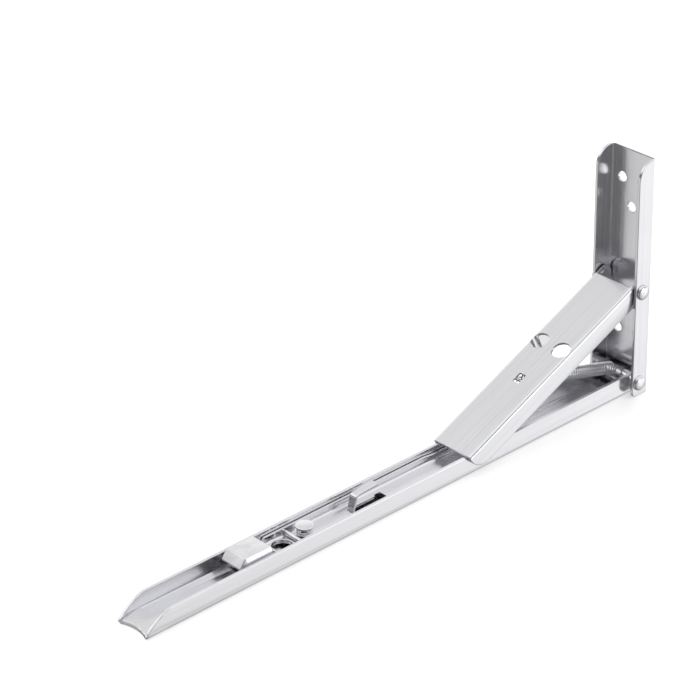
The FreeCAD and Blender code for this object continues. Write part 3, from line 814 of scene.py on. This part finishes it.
@dataclass
class AssistSpring:
    """The coil from the arm pivot's sleeve to the bar in the brace's slot, wound from one wire.

    Attributes:
        wire: diameter of the wire.
        outer: diameter over the coil.
        pitch: distance from turn to turn.
        last_turn: how much short of a whole number of turns the coil ends.
        steps_per_turn: faces along a turn.
        bar_along: place of the slot's bar along the brace, from the brace's pivot.
        bar_out: place of the bar across the brace.
        hook_radius: radius of the hook about the bar, to the middle of the wire.
        hook_turn: how far the hook goes round.
        hook_bend: radius of the bend behind the hook.
        cross_bend: radius of the bend that leads across to the coil.
        neck: distance from the hook to the coil.
        least_run: shortest straight piece.
        lead_in: advance of the half turn before the coil, in wires.
        rise: height of the coil's end over the arm's pivot.
        start: distance of the coil's end from the arm's pivot.
        loop_bend: radius of the bend from the coil to the loop.
        loop_turn: how far the loop goes round the sleeve.
    """

    wire: float = 0.75 * MM
    outer: float = 6.2 * MM
    pitch: float = 1.6 * MM
    last_turn: float = 0.25
    steps_per_turn: int = 20
    bar_along: float = 70.4 * MM
    bar_out: float = 3.1 * MM
    hook_radius: float = 1.5 * MM
    hook_turn: float = math.radians(195)
    hook_bend: float = 0.8 * MM
    cross_bend: float = 0.7 * MM
    neck: float = 1.6 * MM
    least_run: float = 0.05 * MM
    lead_in: float = 0.6
    rise: float = 3.4 * MM
    start: float = 5.4 * MM
    loop_bend: float = 0.7 * MM
    loop_turn: float = math.radians(285)

    def hook_place(self) -> Vector:
        """Find the bar that the hook goes round.

        Returns:
            The middle of the bar.
        """
        along = Vector((-math.cos(BRACE_LEAN), 0.0, -math.sin(BRACE_LEAN)))
        out = Vector((-math.sin(BRACE_LEAN), 0.0, math.cos(BRACE_LEAN)))
        return BRACE_PIVOT + along * self.bar_along + out * self.bar_out

    def build(self, bright: Material) -> None:
        """Bend the spring from the tip of its hook to the end of its loop.

        Args:
            bright: the wire's finish.
        """
        hook = self.hook_place()
        reach = ARM_PIVOT - hook
        lean = math.asin(self.rise / reach.length)
        line = Matrix.Rotation(-lean, 3, Y_AXIS) @ reach.normalized()
        up = Vector((-line.z, 0.0, line.x))
        mean = (self.outer - self.wire) / 2
        wire = WireBender(self.wire)
        # Hook over the bar, from its free tip to the bend that leads to the coil.
        over = self.hook_turn - HALF_TURN
        side = Y_AXIS * self.cross_bend
        tip = (line * -math.cos(over) - up * math.sin(over)) * self.hook_radius
        wire.begin(hook + side + tip, up * math.cos(over) - line * math.sin(over))
        wire.bend(hook, Y_AXIS, self.hook_turn, 18)
        wire.bend(wire.point + line * self.hook_bend, -Y_AXIS, QUARTER_TURN, 8)
        made = (wire.point - hook).dot(line) + self.cross_bend
        wire.run(max(self.hook_radius + self.neck - made, self.least_run))
        wire.bend(wire.point - Y_AXIS * self.cross_bend, line.cross(-Y_AXIS), QUARTER_TURN, 8)
        # A half turn of growing radius leads the wire out to the coil's own.
        drop = (wire.point - hook).dot(up)
        middle = wire.point + up * (mean - drop) / 2
        wire.bend(middle, -line, HALF_TURN, 14, -self.wire * self.lead_in)
        first = wire.point - up * mean
        last = ARM_PIVOT + up * self.rise - line * self.start
        length = (last - first).dot(line)
        turns = round(length / self.pitch) - self.last_turn
        for index in range(math.ceil(turns)):
            share = min(1.0, turns - index)
            steps = round(self.steps_per_turn * share)
            wire.bend(first, -line, FULL_TURN * share, steps, -length / turns * share)
        # Side loop round the sleeve.
        wire.bend(wire.point + line * self.loop_bend, Y_AXIS, QUARTER_TURN, 8)
        wire.run((ARM_PIVOT - wire.point).dot(line))
        wire.bend(ARM_PIVOT, Y_AXIS, self.loop_turn, 40)
        spring = wire.piece("assist_spring_wire", bright)
        mount_piece(spring, Body.SPRING, Slot.SPRING, "assist_spring")


@dataclass
class Lever:
    """The release lever with its pad, fulcrum pin, stud and small spring.

    Attributes:
        grain: size of the lever's brush marks along each axis.
        edge: rounding of the lever's cut edges.
        pad_crease: turn from which the pad's edges are rounded.
        stud_shaft: radius of the stud's shaft.
        stud_head: thickness of the stud's head.
        stud_crown: height of the head's crown over its rounded edge.
        stud_edge: radius of the head's upper edge.
        stud_bevel: bevel of the head's lower edge.
        wire: diameter of the small spring's wire.
        turns: the small spring's turns.
        steps_per_turn: faces along a turn.
    """

    grain: Triple = (40.0 * MM, 0.4 * MM, 0.4 * MM)
    edge: float = 0.2 * MM
    pad_crease: float = math.radians(20)
    stud_shaft: float = 1.6 * MM
    stud_head: float = 1.1 * MM
    stud_crown: float = 0.25 * MM
    stud_edge: float = 0.45 * MM
    stud_bevel: float = 0.15 * MM
    wire: float = 0.9 * MM
    turns: float = 2.5
    steps_per_turn: int = 28

    def build(self, polish: Material, bright: Material) -> None:
        """Dress the lever's pieces and wind its spring.

        Args:
            polish: finish of the pad, the pin and the rivets.
            bright: the spring wire's finish.
        """
        sheet = BrushedSheet("brushed_lever", self.grain, low_gloss=0.14, high_gloss=0.26)
        SheetPiece("release_lever", Body.LEVER, edge=self.edge).build(sheet.material())
        pad = SheetPiece("press_pad", Body.LEVER, Slot.POLISHED, crease=self.pad_crease)
        pad.build(polish)
        SheetPiece("pad_rivet", Body.LEVER, Slot.POLISHED).build(polish)
        SheetPiece("fulcrum_pin", Body.ARM, Slot.POLISHED).build(polish)
        self.build_stud(polish)
        self.build_spring(bright)

    def build_stud(self, polish: Material) -> None:
        """Turn the stud with its low crowned head.

        Args:
            polish: its finish.
        """
        low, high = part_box("lever_rivet")
        middle = (low + high) / 2
        head = (high.x - low.x) / 2
        rise = high.z - low.z
        seat = rise - self.stud_head
        shoulder = rise - self.stud_crown
        flat = head - self.stud_edge
        profile = [
            (0.0, 0.0),
            (self.stud_shaft, 0.0),
            (self.stud_shaft, seat),
            (head - self.stud_bevel, seat),
            (head, seat + self.stud_bevel),
        ]
        for step in range(7):
            turn = QUARTER_TURN * step / 6
            out, up = self.stud_edge * math.cos(turn), self.stud_edge * math.sin(turn)
            profile.append((flat + out, shoulder - self.stud_edge + up))
        for share in (0.75, 0.5, 0.25, 0.0):
            profile.append((flat * share, rise - self.stud_crown * share**2))
        turned = lathe(profile, Vector((middle.x, 0.0, low.z)), Z_AXIS)
        stud = finish_mesh(turned, "lever_rivet_turned", polish)
        mount_piece(stud, Body.ARM, Slot.POLISHED, "lever_rivet")

    def build_spring(self, bright: Material) -> None:
        """Wind the small spring between the lever's floor and the stud's head.

        Args:
            bright: the wire's finish.
        """
        low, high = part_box("lever_spring")
        middle = (low + high) / 2
        mean = (high.x - low.x - self.wire) / 2
        foot = Vector((middle.x, 0.0, low.z + self.wire / 2))
        wire = WireBender(self.wire)
        wire.begin(foot + X_AXIS * mean, Y_AXIS)
        steps = round(self.steps_per_turn * self.turns)
        climb = high.z - low.z - self.wire
        wire.bend(foot, Z_AXIS, FULL_TURN * self.turns, steps, climb)
        spring = wire.piece("lever_spring_wire", bright)
        mount_piece(spring, Body.ARM, Slot.SPRING, "lever_spring")


# Studio


def grey(level: float) -> tuple[float, float, float, float]:
    """Return a grey as a node's colour."""
    return (level, level, level, 1.0)


@dataclass(frozen=True)
class SquareLamp:
    """A soft square lamp.

    Attributes:
        name: the lamp's name.
        place: its middle.
        size: its side.
        power: its power in watts.
        mirrored: whether the metal shows it.
    """

    name: str
    place: Triple
    size: float
    power: float
    mirrored: bool = False

    def hang(self, target: Vector) -> None:
        """Hang the lamp so that it faces a point.

        Args:
            target: the point.
        """
        data = bpy.data.lights.new(self.name, "AREA")
        data.shape = "SQUARE"
        data.size = self.size
        data.energy = self.power
        lamp = bpy.data.objects.new(self.name, data)
        lamp.visible_glossy = self.mirrored
        lamp.visible_camera = False
        lamp.location = self.place
        aim = target - Vector(self.place)
        lamp.rotation_euler = aim.to_track_quat("-Z", "Y").to_euler()
        bpy.context.scene.collection.objects.link(lamp)


@dataclass
class Studio:
    """Pale floor, soft lamps and the camera at the photograph's angle.

    Attributes:
        floor_size: half the floor's side.
        floor_drop: how far the floor lies under the bracket.
        floor_grey: the floor's grey.
        floor_gloss: the floor's roughness.
        floor_lift: light that the camera sees the floor give off.
        key: lamp behind the bracket.
        side: low lamp that the near flanges show.
        softbox: direction along which the upper half of the dome is graded.
        sky_levels: (cosine to the softbox, grey) steps of the upper half.
        bright_side: direction along which the lower half of the dome is graded.
        table_levels: (cosine to the bright side, grey) steps of the lower half.
        horizon: (height, share of the upper half) steps between the halves.
        dome_strength: strength of the dome.
        camera_turn: turn of the camera about Z.
        camera_height: angle at which it looks down.
        camera_roll: its roll.
        camera_distance: its distance from the target.
        camera_target: the point that it looks at.
        sensor: width of its sensor, in millimetres.
        lens: its focal length, in millimetres.
    """

    floor_size: float = 12.0
    floor_drop: float = 0.02 * MM
    floor_grey: float = 0.80
    floor_gloss: float = 0.28
    floor_lift: float = 0.48
    key: SquareLamp = SquareLamp("key", (-0.5, 0.6, 1.3), 0.8, 4.0)
    side: SquareLamp = SquareLamp("side", (0.33, -0.78, 0.06), 0.34, 0.5, True)
    softbox: Triple = (0.35, 0.30, 0.885)
    sky_levels: Levels = (
        (-0.4, 0.13), (0.0, 0.15), (0.2, 0.25), (0.42, 0.95),
        (0.7, 0.95), (0.84, 0.84), (0.9, 0.68), (1.0, 0.72),
    )
    bright_side: Triple = (0.76, -0.65, 0.0)
    table_levels: Levels = (
        (-0.9, 0.62), (-0.5, 0.26), (-0.14, 0.14), (0.3, 0.17),
        (0.6, 0.42), (0.813, 0.70), (0.9, 1.0),
    )
    horizon: Levels = ((-0.06, 0.0), (0.12, 1.0))
    dome_strength: float = 1.2
    camera_turn: float = math.radians(-42.612)
    camera_height: float = math.radians(28.65)
    camera_roll: float = math.radians(-0.952)
    camera_distance: float = 1202.05 * MM
    camera_target: Triple = (-176.449 * MM, 0.0, 83.828 * MM)
    sensor: float = 36.0
    lens: float = 147.53

    def build(self) -> None:
        """Set up the floor, the light and the camera."""
        self.build_floor()
        self.build_sky()
        for lamp in (self.key, self.side):
            lamp.hang(Vector(self.camera_target))
        self.build_camera()
        bpy.context.scene.view_settings.view_transform = "Standard"

    def build_floor(self) -> None:
        """Lay a white floor at the bracket's lowest point."""
        mesh = bmesh.new()
        bmesh.ops.create_grid(mesh, x_segments=1, y_segments=1, size=self.floor_size)
        depth = CAD_BOX[0].z - self.floor_drop
        bmesh.ops.translate(mesh, verts=mesh.verts, vec=Z_AXIS * depth)
        material = bpy.data.materials.new("white_floor")
        material.use_nodes = True
        tree = material.node_tree
        shader = tree.nodes["Principled BSDF"]
        shader.inputs["Base Color"].default_value = grey(self.floor_grey)
        shader.inputs["Roughness"].default_value = self.floor_gloss
        shader.inputs["Emission Color"].default_value = grey(1.0)
        rays = tree.nodes.new("ShaderNodeLightPath")
        lift = tree.nodes.new("ShaderNodeMath")
        lift.operation = "MULTIPLY"
        lift.inputs[1].default_value = self.floor_lift
        tree.links.new(rays.outputs["Is Camera Ray"], lift.inputs[0])
        tree.links.new(lift.outputs[0], shader.inputs["Emission Strength"])
        data = bpy.data.meshes.new("floor")
        mesh.to_mesh(data)
        mesh.free()
        data.materials.append(material)
        floor = bpy.data.objects.new("floor", data)
        bpy.context.scene.collection.objects.link(floor)
        floor.visible_glossy = False

    def build_sky(self) -> None:
        """Light the bracket from a dome with a graded upper and lower half."""
        world = bpy.data.worlds.new("pale_dome")
        bpy.context.scene.world = world
        world.use_nodes = True
        tree = world.node_tree
        tree.nodes.clear()
        out = tree.nodes.new("ShaderNodeOutputWorld")
        rays = tree.nodes.new("ShaderNodeLightPath")
        place = tree.nodes.new("ShaderNodeTexCoord").outputs["Generated"]
        dome = tree.nodes.new("ShaderNodeBackground")
        white = tree.nodes.new("ShaderNodeBackground")
        shown = tree.nodes.new("ShaderNodeMixShader")
        above = self.graded(tree, place, self.softbox, self.sky_levels)
        below = self.graded(tree, place, self.bright_side, self.table_levels)
        height = self.graded(tree, place, tuple(Z_AXIS), self.horizon)
        joined = tree.nodes.new("ShaderNodeMix")
        joined.data_type = "RGBA"
        tree.links.new(height, joined.inputs["Factor"])
        tree.links.new(below, joined.inputs["A"])
        tree.links.new(above, joined.inputs["B"])
        tree.links.new(joined.outputs["Result"], dome.inputs["Color"])
        dome.inputs["Strength"].default_value = self.dome_strength
        white.inputs["Color"].default_value = grey(1.0)
        tree.links.new(rays.outputs["Is Camera Ray"], shown.inputs["Fac"])
        tree.links.new(dome.outputs[0], shown.inputs[1])
        tree.links.new(white.outputs[0], shown.inputs[2])
        tree.links.new(shown.outputs[0], out.inputs["Surface"])

    def graded(
        self, tree: NodeTree, place: NodeSocket, way: Triple, levels: Levels
    ) -> NodeSocket:
        """Grade the dome along a direction.

        Args:
            tree: the world's nodes.
            place: the direction that is looked up.
            way: the direction that the dome is graded along.
            levels: (cosine to that direction, grey level) steps.

        Returns:
            The grey.
        """
        turn = tree.nodes.new("ShaderNodeVectorMath")
        turn.operation = "DOT_PRODUCT"
        turn.inputs[1].default_value = way
        scale = tree.nodes.new("ShaderNodeMapRange")
        scale.inputs["From Min"].default_value = -1.0
        ramp = tree.nodes.new("ShaderNodeValToRGB")
        stops = ramp.color_ramp.elements
        for stop, (cosine, level) in zip(stops, (levels[0], levels[-1])):
            stop.position = (cosine + 1) / 2
            stop.color = grey(level)
        for cosine, level in levels[1:-1]:
            stop = stops.new((cosine + 1) / 2)
            stop.color = grey(level)
        tree.links.new(place, turn.inputs[0])
        tree.links.new(turn.outputs["Value"], scale.inputs["Value"])
        tree.links.new(scale.outputs["Result"], ramp.inputs["Fac"])
        return ramp.outputs["Color"]

    def build_camera(self) -> None:
        """Stand the camera where the photograph was taken."""
        flat = math.cos(self.camera_height)
        back = Vector((
            math.sin(self.camera_turn) * flat,
            -math.cos(self.camera_turn) * flat,
            math.sin(self.camera_height),
        ))
        level = Z_AXIS.cross(back).normalized()
        turned = Matrix.Rotation(self.camera_roll, 3, back) @ level
        above = back.cross(turned)
        stand = Matrix((turned, above, back)).transposed().to_4x4()
        stand.translation = Vector(self.camera_target) + back * self.camera_distance
        data = bpy.data.cameras.new("camera")
        data.sensor_width = self.sensor
        data.lens = self.lens
        camera = bpy.data.objects.new("camera", data)
        camera.matrix_world = stand
        bpy.context.scene.collection.objects.link(camera)
        bpy.context.scene.camera = camera


def main() -> None:
    """Dress the bracket and set it in the studio."""
    logging.basicConfig(level=logging.INFO, format="%(message)s")
    polish = PolishedSteel("polished_steel").material()
    wire = PolishedSteel("spring_wire", dark=(0.60, 0.60, 0.62), light=(0.80, 0.80, 0.82))
    bright = wire.material()
    Channels().build()
    Rivets().build(polish)
    AssistSpring().build(bright)
    Lever().build(polish, bright)
    Studio().build()


if __name__ == "__main__":
    main()
